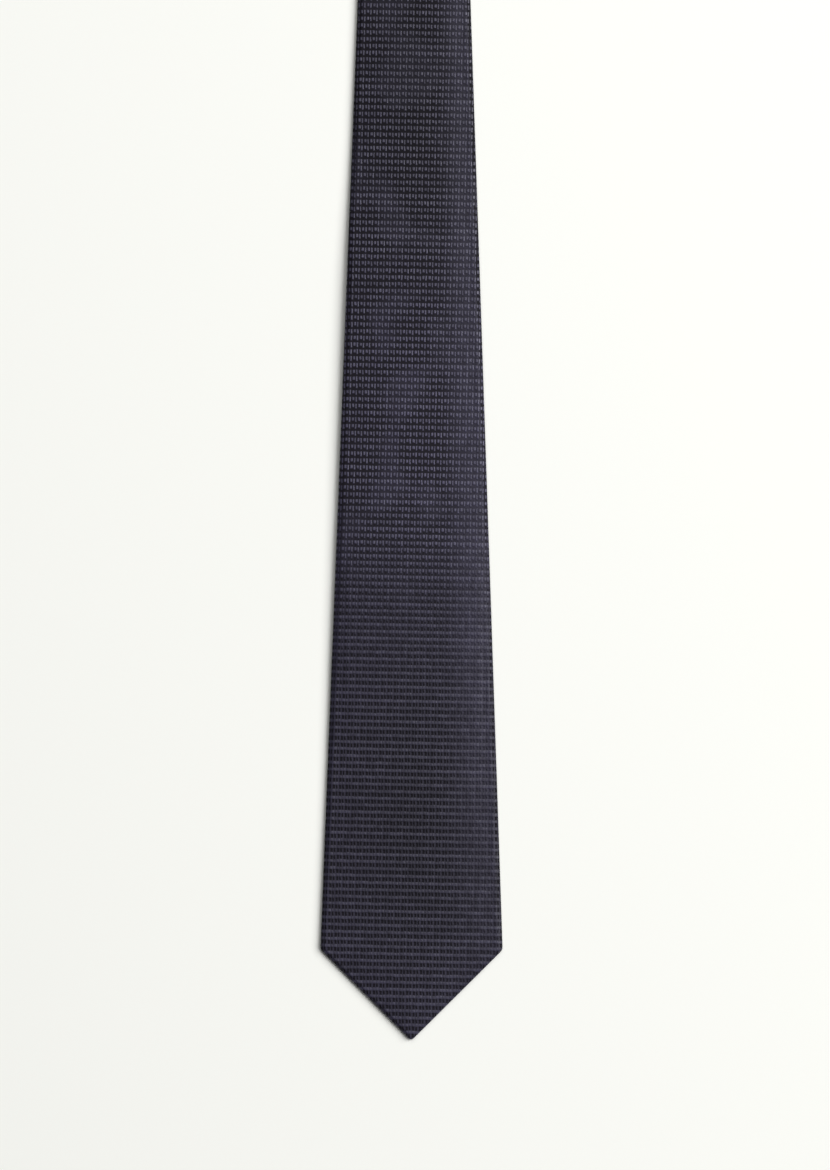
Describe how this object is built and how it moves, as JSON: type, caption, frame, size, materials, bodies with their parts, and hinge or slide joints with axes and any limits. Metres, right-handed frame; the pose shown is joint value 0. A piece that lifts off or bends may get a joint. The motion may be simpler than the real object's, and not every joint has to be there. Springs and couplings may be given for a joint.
{
  "type": "necktie",
  "caption": "Dark navy woven necktie laid out straight, folded cloth on a wool core, with lined tips, back seam, keeper loop and blank label; it folds in half at the neck",
  "frame": {"origin": "under the middle of the tie's length, on its centre line, on the surface that the back of the tie rests on", "axes": "+Y runs along the tie from the blade's point (at -Y) to the tail's point (at +Y); +Z is out of the front of the tie; +X is to the right when the blade points down and the front is seen"},
  "size_m": [0.07, 1.48, 0.0046],
  "materials": {
    "patterned_silk": "satin",
    "lining_satin": "satin",
    "wool_interlining": "matte",
    "sewing_thread": "satin",
    "label_weave": "satin",
    "care_satin": "satin"
  },
  "bodies": {
    "tail_half": {"tail_shell": "patterned_silk", "neck_shell_tail_side": "patterned_silk", "neck_fold_cloth": "patterned_silk", "interlining_neck_fold": "wool_interlining", "interlining_tail": "wool_interlining", "tail_tipping": "lining_satin", "tail_tip_seam_thread": "sewing_thread", "tail_join_seam_thread": "sewing_thread", "slip_stitch_tail": "sewing_thread", "tail_bar_tack": "sewing_thread"},
    "blade_half": {"blade_shell": "patterned_silk", "neck_shell_blade_side": "patterned_silk", "interlining_blade": "wool_interlining", "blade_tipping": "lining_satin", "blade_tip_seam_thread": "sewing_thread", "blade_join_seam_thread": "sewing_thread", "slip_stitch_blade": "sewing_thread", "blade_bar_tack": "sewing_thread", "slack_thread_loop": "sewing_thread", "keeper_loop": "patterned_silk", "keeper_loop_tacks": "sewing_thread", "blank_label": "label_weave", "label_stitches": "sewing_thread", "care_label_stitches": "sewing_thread"},
    "care_tag": {"care_label": "care_satin"}
  },
  "joints": [
    {"name": "neck_fold", "type": "hinge", "parent": "tail_half", "child": "blade_half", "pos_m": [0, 0, 0.0043], "axis": [-1, 0, 0], "range_deg": [0, 180], "deforming": ["neck_fold_cloth", "interlining_neck_fold"]},
    {"name": "care_label_flap", "type": "hinge", "parent": "blade_half", "child": "care_tag", "pos_m": [0, -0.508, 0.0008], "axis": [1, 0, 0], "range_deg": [0, 150]}
  ]
}
